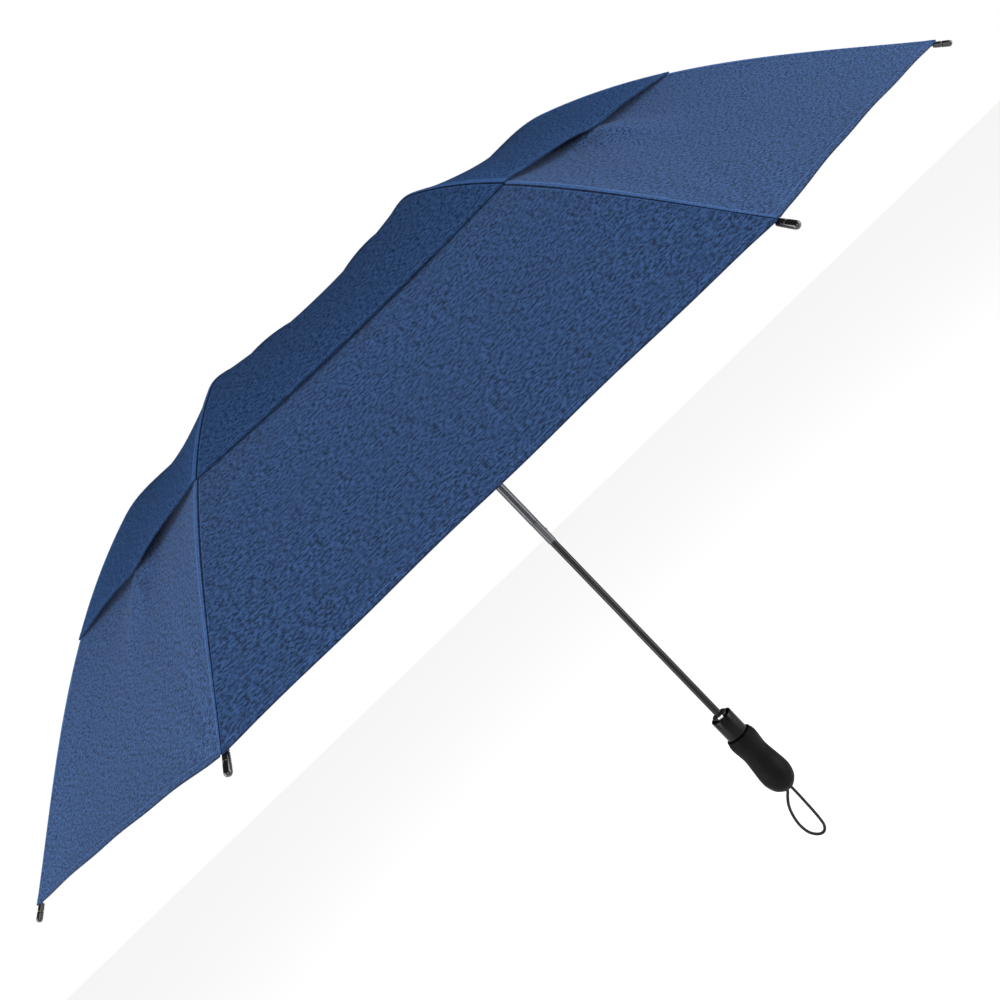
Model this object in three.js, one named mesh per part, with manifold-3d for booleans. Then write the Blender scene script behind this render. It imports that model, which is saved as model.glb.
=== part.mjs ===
// A vented two-fold umbrella, open, standing upright on its shaft axis.
// Millimetres, +Z along the shaft towards the crown, origin at the middle of the hand grip.

import * as THREE from 'three';
import { mergeVertices } from 'three/addons/utils/BufferGeometryUtils.js';
import Module from 'manifold-3d';

const wasm = await Module();
wasm.setup();

// ---------- driving dimensions ----------

const RIBS = 8;
const RIB_STEP = (2 * Math.PI) / RIBS;
const FIRST_RIB = RIB_STEP / 2;

const HEM_R = 655; // shaft axis to the cloth's corner on a rib
const TIP_R = HEM_R + 6; // end of a rib tip
const RIM_Z = 485; // plane through the cloth's corners
const VENT_R = 0.702 * HEM_R; // free edge of the upper canopy, on a rib
const LOWER_START_R = 0.53 * HEM_R; // inner edge of the lower canopy, on a rib
const HEM_HOLLOW = 6; // how far the hem curves in between two ribs

const GAP = 0.3; // clearance between pieces that touch
const CLOTH = 0.5;
const UPPER_LIFT = 1.8; // upper canopy over the lower one, at a rib

const RIB_DROP = 3.8; // rib tops under the cloth
const RIB_WIDTH = 3;
const INNER_RIB_HEIGHT = 5;
const OUTER_RIB_HEIGHT = 3.2;
const ELBOW_R = 0.575 * HEM_R;
const PIVOT_R = 16; // rib and stretcher pivots around the shaft
const PIVOT_DROP = 5.8; // elbow pivot under the cloth
const STRETCHER_R = 0.3 * HEM_R; // where the stretcher meets the inner rib
const STRETCHER_LENGTH = 212;

const UPPER_TUBE_R = 5.6;
const UPPER_BORE_R = 5;
const LOWER_TUBE_R = 4.7;
const LOWER_BORE_R = 4.1;
const UPPER_TUBE_END = 395;
const SLEEVE_END = 363;
const LOWER_TUBE_TOP = 440;

const GRIP_HALF = 43.5;
const COLLAR_R = 14.25;
const COLLAR_TOP = 73;
const BUTTON_HEIGHT = 24.5;
const BUTTON_WIDTH = 16.5;

const STRAP_R = 1.75;

// ---------- materials ----------

const material = (color, roughness, metalness) =>
  new THREE.MeshStandardMaterial({ color, roughness, metalness });

const paint = {
  cloth: material(0x294167, 0.85, 0),
  vent: material(0x1f375d, 0.85, 0),
  steel: material(0xb9bcc0, 0.3, 1),
  chrome: material(0xd6d8db, 0.12, 1),
  dark: material(0x55585e, 0.25, 1),
  glass: material(0x17181a, 0.45, 0),
  plastic: material(0x111214, 0.3, 0),
  rubber: material(0x16171a, 0.75, 0),
  cord: material(0x0d0e10, 0.9, 0),
};

// ---------- solids and booleans ----------

function signedVolume(positions, corners) {
  const a = new THREE.Vector3();
  const b = new THREE.Vector3();
  const c = new THREE.Vector3();
  let sum = 0;
  for (let i = 0; i < corners.length; i += 3) {
    a.fromArray(positions, 3 * corners[i]);
    b.fromArray(positions, 3 * corners[i + 1]);
    c.fromArray(positions, 3 * corners[i + 2]);
    sum += a.dot(b.cross(c));
  }
  return sum / 6;
}

// A closed solid from any closed geometry: shared corners merged, faces turned outwards.
function solid(geometry) {
  const bare = geometry.clone();
  bare.deleteAttribute('normal');
  bare.deleteAttribute('uv');
  const merged = mergeVertices(bare, 1e-4);
  const positions = merged.getAttribute('position').array;
  const index = merged.index.array;
  const corners = [];
  for (let i = 0; i < index.length; i += 3) {
    const [a, b, c] = index.slice(i, i + 3);
    if (a !== b && b !== c && c !== a) corners.push(a, b, c);
  }
  if (signedVolume(positions, corners) < 0) corners.reverse();
  const mesh = new wasm.Mesh({
    numProp: 3,
    vertProperties: new Float32Array(positions),
    triVerts: new Uint32Array(corners),
  });
  return new wasm.Manifold(mesh);
}

function named(name, shape, finish) {
  const mesh = shape.getMesh();
  const geometry = new THREE.BufferGeometry();
  geometry.setAttribute('position', new THREE.BufferAttribute(mesh.vertProperties, 3));
  geometry.setIndex(new THREE.BufferAttribute(mesh.triVerts, 1));
  geometry.computeVertexNormals();
  const piece = new THREE.Mesh(geometry, finish);
  piece.name = name;
  return piece;
}

const points = (pairs) => pairs.map(([x, y]) => new THREE.Vector2(x, y));

// A turned piece around +Z from [radius, z] points; the outline closes on itself or on the axis.
function turned(pairs, sides = 32) {
  const closed = pairs[0][0] > 0 || pairs.at(-1)[0] > 0;
  const outline = closed ? [...pairs, pairs[0]] : pairs;
  return solid(new THREE.LatheGeometry(points(outline), sides).rotateX(Math.PI / 2));
}

const pipe = (inner, outer, low, high, sides) =>
  turned([[inner, low], [outer, low], [outer, high], [inner, high]], sides);

function block(x, y, z) {
  const box = new THREE.BoxGeometry(x[1] - x[0], y[1] - y[0], z[1] - z[0]);
  box.translate((x[0] + x[1]) / 2, (y[0] + y[1]) / 2, (z[0] + z[1]) / 2);
  return solid(box);
}

// An outline in the radial plane (x outwards, z up) given a width across it, from y[0] to y[1].
function plate(pairs, y) {
  const options = { depth: y[1] - y[0], bevelEnabled: false };
  const shape = new THREE.ExtrudeGeometry(new THREE.Shape(points(pairs)), options);
  return solid(shape.rotateX(Math.PI / 2).translate(0, y[1], 0));
}

// A round pin along y, centred at [x, z].
function crossPin([x, z], radius, y, sides = 12) {
  const pin = new THREE.CylinderGeometry(radius, radius, y[1] - y[0], sides);
  return solid(pin.translate(x, (y[0] + y[1]) / 2, z));
}

// A round wire or cord along a curve.
function tube(curve, radius, sides, steps) {
  const ring = new THREE.Shape();
  ring.absarc(0, 0, radius, 0, 2 * Math.PI, false);
  const options = { steps, curveSegments: sides / 2, extrudePath: curve, bevelEnabled: false };
  return solid(new THREE.ExtrudeGeometry(ring, options));
}

function coil(radius, wire, turns, length) {
  class Helix extends THREE.Curve {
    getPoint(t, target = new THREE.Vector3()) {
      const angle = 2 * Math.PI * turns * t;
      return target.set(radius * Math.cos(angle), radius * Math.sin(angle), length * t);
    }
  }
  return tube(new Helix(), wire, 4, turns * 6);
}

// ---------- the dome ----------

const DOME_RISE = 0.437 * HEM_R; // a full dome over the rim plane
const CROWN_FLAT = 18; // how much lower the flat crown is than that dome
const CROWN_FLAT_R = 235; // flat out to here, then back on the dome at the shoulder
const SHOULDER_R = 338;

// Height of the lower cloth over the rim plane, along a rib.
function rise(r) {
  const q = (r / HEM_R) ** 2;
  const dome = DOME_RISE * (1 - 0.476 * q - 1.047 * q * q + 0.523 * q ** 3);
  return dome - CROWN_FLAT * (1 - THREE.MathUtils.smoothstep(r, CROWN_FLAT_R, SHOULDER_R));
}

function slope(r) {
  const step = 0.5;
  return (rise(r + step) - rise(r - step)) / (2 * step);
}

const clothZ = (r) => RIM_Z + rise(r);
const CROWN_Z = clothZ(0);

const CROWN_PIVOT = [PIVOT_R, clothZ(PIVOT_R) - RIB_DROP - INNER_RIB_HEIGHT / 2];
const ELBOW = [ELBOW_R, clothZ(ELBOW_R) - PIVOT_DROP];
const INNER_Y = [-RIB_WIDTH - 0.2, -0.2]; // the two ribs lie side by side, so one folds past the other
const OUTER_Y = [0.2, RIB_WIDTH + 0.2];
const STRETCHER_Y = [-5.6, -3.8];
const STRETCHER_EYE = [STRETCHER_R, clothZ(STRETCHER_R) - RIB_DROP - INNER_RIB_HEIGHT + 1];
const STRETCHER_RUN = STRETCHER_R - PIVOT_R;
const STRETCHER_RISE = Math.sqrt(STRETCHER_LENGTH ** 2 - STRETCHER_RUN ** 2);
const RUNNER_PIVOT = [PIVOT_R, STRETCHER_EYE[1] - STRETCHER_RISE];

function stations(start, end, count) {
  return Array.from({ length: count + 1 }, (_, i) => start + ((end - start) * i) / count);
}

// Strip between two depths under the cloth, from one radius to another.
function strip(start, end, top, bottom, count) {
  const radii = stations(start, end, count);
  const upper = radii.map((r) => [r, clothZ(r) - top]);
  const lower = radii.map((r) => [r, clothZ(r) - bottom]);
  return [...lower, ...upper.reverse()];
}

// ---------- ribs, tips and stretchers, in a plane where +X points outwards ----------

function innerRib() {
  const bottom = RIB_DROP + INNER_RIB_HEIGHT;
  const end = ELBOW_R + 5;
  const middle = (INNER_Y[0] + INNER_Y[1]) / 2;
  const wall = 0.7;
  const bar = plate(strip(PIVOT_R, end, RIB_DROP, bottom, 14), INNER_Y);
  const channelY = [INNER_Y[0] + wall, INNER_Y[1] - wall];
  const channel = plate(strip(28, ELBOW_R - 8, RIB_DROP + wall, bottom + 1, 14), channelY);
  const eye = crossPin(CROWN_PIVOT, 3, INNER_Y);
  const eyeHole = crossPin(CROWN_PIVOT, 1.2, [-9, 9]);
  const elbowPin = crossPin(ELBOW, 0.9, [middle, OUTER_Y[1] + 0.5]);
  return bar.subtract(channel).add(eye).subtract(eyeHole).add(elbowPin);
}

function outerRib() {
  const bottom = RIB_DROP + OUTER_RIB_HEIGHT;
  const tenonEnd = TIP_R - 6;
  const tenonStart = TIP_R - 12;
  const bar = plate(strip(ELBOW_R - 4, tenonStart, RIB_DROP, bottom, 9), OUTER_Y);
  const tenon = plate(strip(tenonStart - 1, tenonEnd, RIB_DROP + 0.5, bottom - 0.5, 1), OUTER_Y);
  const eye = crossPin(ELBOW, 2.4, OUTER_Y);
  const eyeHole = crossPin(ELBOW, 1.25, [-9, 9]);
  return bar.add(tenon).add(eye).subtract(eyeHole);
}

function ribTip() {
  const length = 17;
  const radius = 3.1;
  const bore = 2.2;
  const depth = 11;
  const outline = [
    [0, length],
    [radius * 0.7, length - 0.8],
    [radius, length - 2.6],
    [radius * 0.9, 0],
    [bore, 0],
    [bore, depth],
    [0, depth],
  ];
  const tip = new THREE.LatheGeometry(points(outline), 10).rotateX(Math.PI / 2);
  const pitch = Math.atan(-slope(TIP_R - length / 2));
  const along = new THREE.Vector3(Math.cos(pitch), 0, -Math.sin(pitch));
  const end = new THREE.Vector3(TIP_R, (OUTER_Y[0] + OUTER_Y[1]) / 2, clothZ(TIP_R));
  end.z -= RIB_DROP + OUTER_RIB_HEIGHT / 2;
  tip.rotateY(Math.PI / 2 + pitch);
  tip.translate(end.x - length * along.x, end.y, end.z - length * along.z);
  return solid(tip);
}

function stretcher() {
  const half = 2;
  const direction = Math.atan2(STRETCHER_RISE, STRETCHER_RUN);
  const side = [-Math.sin(direction) * half, Math.cos(direction) * half];
  const corners = [
    [RUNNER_PIVOT[0] - side[0], RUNNER_PIVOT[1] - side[1]],
    [STRETCHER_EYE[0] - side[0], STRETCHER_EYE[1] - side[1]],
    [STRETCHER_EYE[0] + side[0], STRETCHER_EYE[1] + side[1]],
    [RUNNER_PIVOT[0] + side[0], RUNNER_PIVOT[1] + side[1]],
  ];
  const bar = plate(corners, STRETCHER_Y);
  const ends = crossPin(RUNNER_PIVOT, 2.7, STRETCHER_Y).add(crossPin(STRETCHER_EYE, 2.7, STRETCHER_Y));
  const holes = crossPin(RUNNER_PIVOT, 1.4, [-9, 9]).add(crossPin(STRETCHER_EYE, 1.2, [-9, 9]));
  return bar.add(ends).subtract(holes);
}

// ---------- canopies ----------

const SAG_STEPS = 4; // facets across one panel

const upperSag = (r) => 11 * Math.sin((Math.PI * r) / (1.12 * VENT_R));

function lowerSag(r) {
  const t = Math.max(0, (r / HEM_R - 0.72) / 0.28);
  return 14 - 9 * t * t;
}

// One point of the cloth: on the rib at edge = 0 or 1, hollow in between.
function clothPoint(panel, edge, r, lift, sag) {
  const from = FIRST_RIB + panel * RIB_STEP;
  const to = from + RIB_STEP;
  const middle = (from + to) / 2;
  const dip = sag(r) * 4 * edge * (1 - edge);
  const pitch = Math.atan(-slope(r));
  const inward = dip * Math.sin(pitch);
  const x = r * ((1 - edge) * Math.cos(from) + edge * Math.cos(to)) - inward * Math.cos(middle);
  const y = r * ((1 - edge) * Math.sin(from) + edge * Math.sin(to)) - inward * Math.sin(middle);
  return [x, y, clothZ(r) + lift - dip * Math.cos(pitch)];
}

// A closed cloth skin between two radii: outer face, inner face, and the two edges.
function canopy(start, end, count, lift, sag, hollow) {
  const shares = stations(0, 1, count);
  const around = RIBS * SAG_STEPS;
  const positions = [];
  for (const drop of [0, CLOTH]) {
    for (const share of shares) {
      for (let i = 0; i < around; i++) {
        const panel = Math.floor(i / SAG_STEPS);
        const edge = (i % SAG_STEPS) / SAG_STEPS;
        const r = start + (end - hollow * 4 * edge * (1 - edge) - start) * share;
        positions.push(...clothPoint(panel, edge, r, lift - drop, sag));
      }
    }
  }
  const rows = shares.length;
  const corner = (face, row, i) => (face * rows + row) * around + (i % around);
  const index = [];
  const quad = (a, b, c, d) => index.push(a, b, c, a, c, d);
  for (let i = 0; i < around; i++) {
    for (let row = 0; row < rows - 1; row++) {
      quad(corner(0, row, i), corner(0, row + 1, i), corner(0, row + 1, i + 1), corner(0, row, i + 1));
      quad(corner(1, row, i), corner(1, row, i + 1), corner(1, row + 1, i + 1), corner(1, row + 1, i));
    }
    quad(corner(0, 0, i), corner(0, 0, i + 1), corner(1, 0, i + 1), corner(1, 0, i));
    const last = rows - 1;
    quad(corner(0, last, i), corner(1, last, i), corner(1, last, i + 1), corner(0, last, i + 1));
  }
  const geometry = new THREE.BufferGeometry();
  geometry.setAttribute('position', new THREE.Float32BufferAttribute(positions, 3));
  geometry.setIndex(index);
  return solid(geometry);
}

// ---------- crown and runner, slotted for the eight arms ----------

const FLANGE_R = 19.5;

// Cuts one slot for each arm and an open groove for the pivot wire.
function slotted(body, y, pivotZ, low, high) {
  const clearance = 0.5;
  let result = body;
  for (let i = 0; i < RIBS; i++) {
    const slot = block([12, 25], [y[0] - clearance, y[1] + clearance], [low - 1, high + 1]);
    result = result.subtract(slot.rotate([0, 0, (FIRST_RIB + i * RIB_STEP) * (180 / Math.PI)]));
  }
  const wireR = Math.hypot(PIVOT_R, (y[0] + y[1]) / 2);
  return result.subtract(pipe(wireR - 0.95, wireR + 0.95, pivotZ - 0.95, high + 1, 32));
}

function pivotWire(y, pivotZ) {
  const wireR = Math.hypot(PIVOT_R, (y[0] + y[1]) / 2);
  return solid(new THREE.TorusGeometry(wireR, 0.6, 5, 24).translate(0, 0, pivotZ));
}

function crownNotch() {
  const z = CROWN_PIVOT[1];
  const low = z - 5;
  const high = z + 4.4;
  const body = turned([
    [UPPER_TUBE_R + GAP, low - 6],
    [9, low - 6],
    [10, low],
    [FLANGE_R, low],
    [FLANGE_R, high],
    [UPPER_TUBE_R + GAP, high],
  ], 32);
  return slotted(body, INNER_Y, z, low, high);
}

function runner() {
  const z = RUNNER_PIVOT[1];
  const low = z - 5;
  const high = z + 4;
  const bore = UPPER_TUBE_R + 0.9;
  const body = turned([
    [bore, z - 28],
    [9.6, z - 28],
    [10.4, z - 26],
    [9, z - 22],
    [9, low - 5],
    [11, low],
    [FLANGE_R + 1, low],
    [FLANGE_R + 1, high],
    [bore, high],
  ], 32);
  return slotted(body, STRETCHER_Y, z, low, high);
}

// ---------- shaft ----------

// Thin-walled tube with shallow flutes along it.
function upperTube() {
  const flutes = 8;
  const depth = 0.35;
  const sides = flutes * 6;
  const outline = stations(0, 2 * Math.PI, sides).slice(0, -1).map((a) => {
    const r = UPPER_TUBE_R - depth * Math.max(0, Math.cos(flutes * a)) ** 2;
    return [r * Math.cos(a), r * Math.sin(a)];
  });
  const shape = new THREE.Shape(points(outline));
  const bore = new THREE.Path();
  bore.absarc(0, 0, UPPER_BORE_R, 0, 2 * Math.PI, true);
  shape.holes.push(bore);
  const top = CROWN_Z + 5.5;
  const options = { depth: top - UPPER_TUBE_END, bevelEnabled: false, curveSegments: 12 };
  return solid(new THREE.ExtrudeGeometry(shape, options).translate(0, 0, UPPER_TUBE_END));
}

function couplingSleeve() {
  return turned([
    [LOWER_TUBE_R + 0.2, SLEEVE_END],
    [5.1, SLEEVE_END],
    [5.3, SLEEVE_END + 1],
    [5.3, UPPER_TUBE_END - GAP],
    [LOWER_TUBE_R + 0.2, UPPER_TUBE_END - GAP],
  ], 32);
}

function couplingRivet() {
  const head = [[0, 0], [1.9, 0], [1.9, 0.25], [1.2, 0.55], [0, 0.6]];
  const rivet = new THREE.LatheGeometry(points(head), 16).rotateX(Math.PI / 2).rotateY(Math.PI / 2);
  return solid(rivet.translate(5.6, 0, 379));
}

function openingSpring() {
  const low = LOWER_TUBE_TOP + 2;
  const high = CROWN_Z - 14;
  return coil(4, 0.45, 16, high - low).translate([0, 0, low]);
}

function canopyWasher() {
  const low = CROWN_Z + UPPER_LIFT + GAP;
  return turned([
    [UPPER_TUBE_R + GAP, low],
    [15, low],
    [15, low + 0.5],
    [13.5, low + 1.1],
    [UPPER_TUBE_R + GAP, low + 1.1],
  ]);
}

function ferruleCap() {
  const low = CROWN_Z + UPPER_LIFT + 2 * GAP + 1.1;
  const top = CROWN_Z + 12.5;
  const boreTop = CROWN_Z + 5.5 + 2 * GAP;
  return turned([
    [UPPER_TUBE_R + GAP, low],
    [11.5, low],
    [12, low + 1],
    [11.6, low + 3],
    [9.5, top - 2.2],
    [6.5, top - 0.4],
    [5, top],
    [0, top],
    [0, boreTop],
    [UPPER_TUBE_R + GAP, boreTop],
  ]);
}

// ---------- handle ----------

function grip() {
  // Radius of the soft grip down its length: shoulder, waist, palm swell, rounded end.
  const swell = new THREE.SplineCurve(points([
    [17.2, 41.5], [18.85, 33.4], [17.35, 19], [17.05, 11.5], [18.5, -2],
    [20.2, -18], [19.6, -27], [16.6, -35.5], [12.5, -40.5],
  ])).getPoints(12).map((p) => [p.x, p.y]);
  return turned([
    [12.3, GRIP_HALF],
    [15.4, GRIP_HALF],
    ...swell,
    [9.4, -42.8],
    [8.9, -GRIP_HALF],
    [8.9, -40],
    [12.3, -38.6],
  ], 28);
}

function handleCore() {
  return turned([
    [LOWER_TUBE_R + GAP, -36],
    [12, -36],
    [12, GRIP_HALF],
    [LOWER_TUBE_R + GAP, GRIP_HALF],
  ]);
}

function endPlug() {
  const body = turned([
    [0, -44],
    [8, -44],
    [8.6, -43],
    [8.6, -39.7],
    [11.7, -38.3],
    [11.7, -36.3],
    [0, -36.3],
  ]);
  const slotHalf = STRAP_LEG_X + STRAP_R + GAP;
  const slotY = STRAP_R + GAP;
  return body.subtract(block([-slotHalf, slotHalf], [-slotY, slotY], [-46, -38]));
}

function collar() {
  const cup = turned([
    [LOWER_TUBE_R + GAP, GRIP_HALF + GAP],
    [COLLAR_R, GRIP_HALF + GAP],
    [COLLAR_R, COLLAR_TOP - 1],
    [COLLAR_R - 0.5, COLLAR_TOP],
    [COLLAR_R - 1.4, COLLAR_TOP],
    [12.4, COLLAR_TOP - 1],
    [12.4, GRIP_HALF + 2.5],
    [LOWER_TUBE_R + GAP, GRIP_HALF + 2.5],
  ], 32);
  return cup.subtract(buttonPrism(GAP, [8, 20]));
}

const BUTTON_Z = (GRIP_HALF + COLLAR_TOP) / 2;

// An upright oval, pushed along +Y, a little larger than the button by the margin.
function buttonPrism(margin, y) {
  const radius = BUTTON_WIDTH / 2 + margin;
  const straight = (BUTTON_HEIGHT - BUTTON_WIDTH) / 2;
  const shape = new THREE.Shape();
  shape.absarc(0, BUTTON_Z + straight, radius, 0, Math.PI, false);
  shape.absarc(0, BUTTON_Z - straight, radius, Math.PI, 2 * Math.PI, false);
  const options = { depth: y[1] - y[0], bevelEnabled: false, curveSegments: 10 };
  return solid(new THREE.ExtrudeGeometry(shape, options).rotateX(Math.PI / 2).translate(0, y[1], 0));
}

function releaseButton() {
  const face = turned([[0, 40], [16.2, 40], [16.2, 80], [0, 80]], 48);
  const pad = buttonPrism(0, [11, 18]).intersect(face);
  const recess = block([-4.2, 4.2], [10, 12.3], [40, 80]);
  const stem = block([-2, 2], [9.5, 12.8], [BUTTON_Z - 8, BUTTON_Z - 5.8]);
  return pad.subtract(recess).add(stem);
}

function buttonSpring() {
  return coil(1.8, 0.3, 2, 2.3).rotate([-90, 0, 0]).translate([0, 9.6, LEVER_PIVOT[1]]);
}

const LEVER_PIVOT = [7.9, BUTTON_Z + 4]; // y and z

function latchHousing() {
  const body = pipe(LOWER_TUBE_R + GAP, 9.7, GRIP_HALF + 2.8, COLLAR_TOP + 3.4, 32);
  const slot = block([-2.6, 2.6], [4, 12], [GRIP_HALF + 4.5, COLLAR_TOP + 8]);
  return body.subtract(slot).subtract(leverPinRod(1.3, 5.3));
}

function leverPinRod(radius, half) {
  const pin = new THREE.CylinderGeometry(radius, radius, 2 * half, 12).rotateZ(Math.PI / 2);
  return solid(pin.translate(0, LEVER_PIVOT[0], LEVER_PIVOT[1]));
}

function latchLever() {
  const low = BUTTON_Z - 8.5;
  const high = COLLAR_TOP + 5.5;
  const arm = block([-2.1, 2.1], [6.6, 9.2], [low, high]);
  const hook = block([-2.1, 2.1], [6.2, 7], [high - 2, high]);
  return arm.add(hook).subtract(leverPinRod(1.25, 9));
}

// ---------- wrist strap ----------

const STRAP_LEG_X = 2.2;

// One cord loop hanging under the grip: down the bowed side, round the end, up the straighter side.
function strapRoute() {
  return [
    [-STRAP_LEG_X, -40], [-2.4, -44.5], [-5.2, -48.5], [-9.6, -53], [-14.6, -59.5], [-18.6, -68],
    [-21.2, -78], [-22.2, -88], [-20.8, -99], [-16.6, -107], [-10.6, -112], [-4.6, -111.6],
    [-0.8, -106], [0.6, -97], [1.4, -85], [1.9, -70], [2.2, -55], [2.2, -46], [STRAP_LEG_X, -40],
  ].map(([x, z]) => new THREE.Vector3(x, 0, z));
}

function wristStrap() {
  return tube(new THREE.CatmullRomCurve3(strapRoute()), STRAP_R, 8, 40);
}

// ---------- assembly ----------

const umbrella = new THREE.Group();

function add(name, shape, finish, group = umbrella) {
  group.add(named(name, shape, finish));
}

const arms = {
  inner_rib: [innerRib(), paint.steel],
  outer_rib: [outerRib(), paint.glass],
  rib_tip: [ribTip(), paint.plastic],
  stretcher: [stretcher(), paint.steel],
};

for (let i = 0; i < RIBS; i++) {
  const side = new THREE.Group();
  side.rotation.z = FIRST_RIB + i * RIB_STEP;
  for (const [name, [shape, finish]] of Object.entries(arms)) {
    add(`${name}_${i + 1}`, shape, finish, side);
  }
  umbrella.add(side);
}

add('upper_canopy', canopy(10, VENT_R, 14, UPPER_LIFT, upperSag, 0), paint.vent);
add('lower_canopy', canopy(LOWER_START_R, HEM_R, 6, 0, lowerSag, HEM_HOLLOW), paint.cloth);

add('crown_notch', crownNotch(), paint.plastic);
add('crown_wire', pivotWire(INNER_Y, CROWN_PIVOT[1]), paint.steel);
add('canopy_washer', canopyWasher(), paint.chrome);
add('ferrule_cap', ferruleCap(), paint.plastic);
add('runner', runner(), paint.plastic);
add('runner_wire', pivotWire(STRETCHER_Y, RUNNER_PIVOT[1]), paint.steel);

add('upper_tube', upperTube(), paint.chrome);
add('coupling_sleeve', couplingSleeve(), paint.steel);
add('coupling_rivet', couplingRivet(), paint.dark);
add('lower_tube', pipe(LOWER_BORE_R, LOWER_TUBE_R, -34, LOWER_TUBE_TOP, 32), paint.dark);
add('opening_spring', openingSpring(), paint.steel);

add('grip', grip(), paint.rubber);
add('handle_core', handleCore(), paint.plastic);
add('end_plug', endPlug(), paint.plastic);
add('collar', collar(), paint.plastic);
add('latch_housing', latchHousing(), paint.chrome);
add('latch_lever', latchLever(), paint.steel);
add('lever_pin', leverPinRod(1, 5.2), paint.steel);
add('release_button', releaseButton(), paint.chrome);
add('button_spring', buttonSpring(), paint.steel);
add('wrist_strap', wristStrap(), paint.cord);

export default umbrella;
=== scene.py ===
"""Looks for an open, vented two-fold umbrella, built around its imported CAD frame.

Metres, +Z along the shaft towards the crown, origin in the middle of the hand grip.
"""

import math

import bpy
import numpy as np
from mathutils import Matrix, Vector


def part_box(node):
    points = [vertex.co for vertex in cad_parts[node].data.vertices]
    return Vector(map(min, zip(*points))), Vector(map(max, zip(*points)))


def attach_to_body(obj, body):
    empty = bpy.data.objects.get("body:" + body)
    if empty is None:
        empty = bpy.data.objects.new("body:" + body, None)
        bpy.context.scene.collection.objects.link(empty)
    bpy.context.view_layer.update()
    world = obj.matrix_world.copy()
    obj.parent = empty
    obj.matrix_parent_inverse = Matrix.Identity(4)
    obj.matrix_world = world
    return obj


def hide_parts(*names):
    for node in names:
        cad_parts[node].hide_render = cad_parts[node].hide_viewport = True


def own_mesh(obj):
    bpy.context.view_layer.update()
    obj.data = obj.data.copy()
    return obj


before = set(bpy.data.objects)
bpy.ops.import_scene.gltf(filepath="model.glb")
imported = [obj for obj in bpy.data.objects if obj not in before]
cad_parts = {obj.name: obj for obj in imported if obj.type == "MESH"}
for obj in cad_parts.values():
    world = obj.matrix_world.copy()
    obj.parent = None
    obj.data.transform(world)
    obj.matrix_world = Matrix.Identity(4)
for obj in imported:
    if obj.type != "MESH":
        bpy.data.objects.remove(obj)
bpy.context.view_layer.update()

MM = 0.001
SHARP_ANGLE = math.radians(35)  # edges bent more than this stay sharp

# ---------- sizes, from the frame ----------

RIBS = 8
RIB_STEP = 2 * math.pi / RIBS
FIRST_RIB = RIB_STEP / 2
HALF_STEP_SINE = math.sin(RIB_STEP / 2)


def low(node):
    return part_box(node)[0].z


def high(node):
    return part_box(node)[1].z


HEM_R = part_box("lower_canopy")[1].x / math.cos(FIRST_RIB)
VENT_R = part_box("upper_canopy")[1].x / math.cos(FIRST_RIB)
TIP_R = HEM_R + 8 * MM
LOWER_START_R = 0.53 * HEM_R
UPPER_START_R = 10 * MM
ELBOW_R = 0.575 * HEM_R
DOME_RISE = 0.437 * HEM_R
DOME_CURVE = (1, -0.476, -1.047, 0.523)  # factors of the powers of (radius / HEM_R) squared
CROWN_FLAT = 18 * MM  # how far the middle of the dome is pressed down
CROWN_FLAT_R = 235 * MM
SHOULDER_R = 338 * MM
CROWN_Z = high("ferrule_cap") - 12.5 * MM
RIM_Z = CROWN_Z - DOME_RISE + CROWN_FLAT
UPPER_LIFT = 1.8 * MM
RIB_DROP = 3.8 * MM


def rib_angle(i):
    return FIRST_RIB + i * RIB_STEP


# ---------- camera ----------

CAMERA_DISTANCE = 2.006 * HEM_R
CAMERA_RISE = 0.0563 * HEM_R
CAMERA_ROLL = math.radians(43.92)
CAMERA_LENS = 39.5
SENSOR_WIDTH = 36
CAMERA_SHIFT = (0.0395, -0.0541)


def make_camera():
    data = bpy.data.cameras.new("camera")
    data.lens = CAMERA_LENS
    data.sensor_width = SENSOR_WIDTH
    data.shift_x, data.shift_y = CAMERA_SHIFT
    data.clip_start = 0.01
    data.clip_end = 100
    camera = bpy.data.objects.new("camera", data)
    bpy.context.scene.collection.objects.link(camera)
    cosine = math.cos(CAMERA_ROLL)
    sine = math.sin(CAMERA_ROLL)
    right = Vector((cosine, 0, -sine))
    up = Vector((sine, 0, cosine))
    back = Vector((0, -1, 0))
    camera.matrix_world = Matrix.Translation((0, -CAMERA_DISTANCE, RIM_Z + CAMERA_RISE)) @ (
        Matrix((right, up, back)).transposed().to_4x4()
    )
    bpy.context.scene.camera = camera


make_camera()

# ---------- mesh helpers ----------


def make_mesh(name, vertices, faces, material=None):
    mesh = bpy.data.meshes.new(name)
    mesh.from_pydata([tuple(v) for v in vertices], [], [tuple(f) for f in faces])
    mesh.validate()
    mesh.polygons.foreach_set("use_smooth", [True] * len(mesh.polygons))
    mesh.set_sharp_from_angle(angle=SHARP_ANGLE)
    obj = bpy.data.objects.new(name, mesh)
    bpy.context.scene.collection.objects.link(obj)
    if material:
        mesh.materials.append(material)
    return obj


def attach(obj, body, slot, *nodes):
    """A finished piece: it moves with the body and stands for the nodes, which it hides; the slot is not
    used.
    """
    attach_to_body(obj, body)
    if nodes:
        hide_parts(*nodes)
    return obj


def bridge_rings(rings, sides):
    """Quads between rings of vertices; each ring is a run of `sides` indices."""
    faces = []
    for row in range(rings - 1):
        below = row * sides
        above = below + sides
        for i in range(sides):
            j = (i + 1) % sides
            faces.append((below + i, below + j, above + j, above + i))
    return faces


def outward(profile):
    """The profile without repeated points, running up its outer side so that faces point outward."""
    shortest_step = 1e-4
    steps = zip(profile, profile[-1:] + profile)
    points = [here for here, before in steps if math.dist(here, before) > shortest_step]
    area = sum(a[0] * b[1] - b[0] * a[1] for a, b in zip(points, points[1:] + points[:1]))
    return points if area > 0 else points[::-1]


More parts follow.
